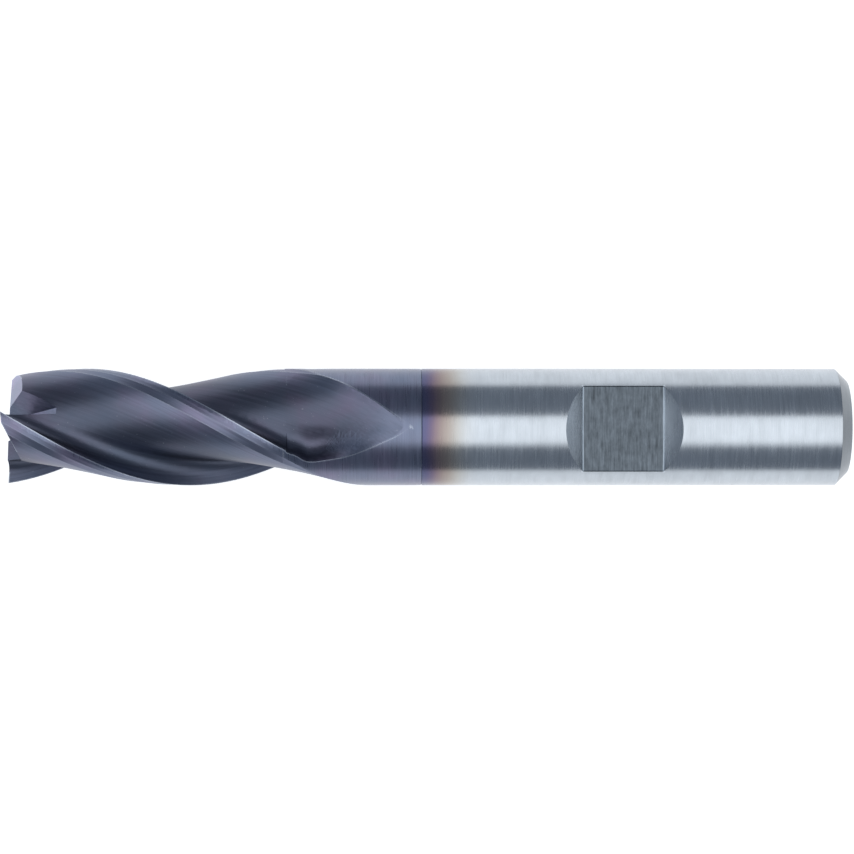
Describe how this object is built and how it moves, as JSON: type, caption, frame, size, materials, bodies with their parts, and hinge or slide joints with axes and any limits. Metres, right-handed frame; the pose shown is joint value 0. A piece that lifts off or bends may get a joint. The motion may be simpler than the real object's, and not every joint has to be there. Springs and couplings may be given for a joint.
{
  "type": "end mill",
  "caption": "Coated fluted end mill for milling slots and shoulders, with a plain cylindrical shank that has a side-lock clamping flat.",
  "frame": {"origin": "centre of the shank's end face, on the tool's axis", "axes": "+X along the tool's axis, out of the shank's free end; the cutting end points to -X; +Z is the outward normal of the side-lock flat"},
  "size_m": [0.072, 0.01, 0.01],
  "materials": {
    "coated_steel": "thin blue-violet hard coating on ground high-speed steel",
    "ground_steel": "bare, cylindrically ground high-speed steel"
  },
  "bodies": {
    "root": {"cutting_section": "coated_steel", "shank": "ground_steel"}
  },
  "joints": []
}
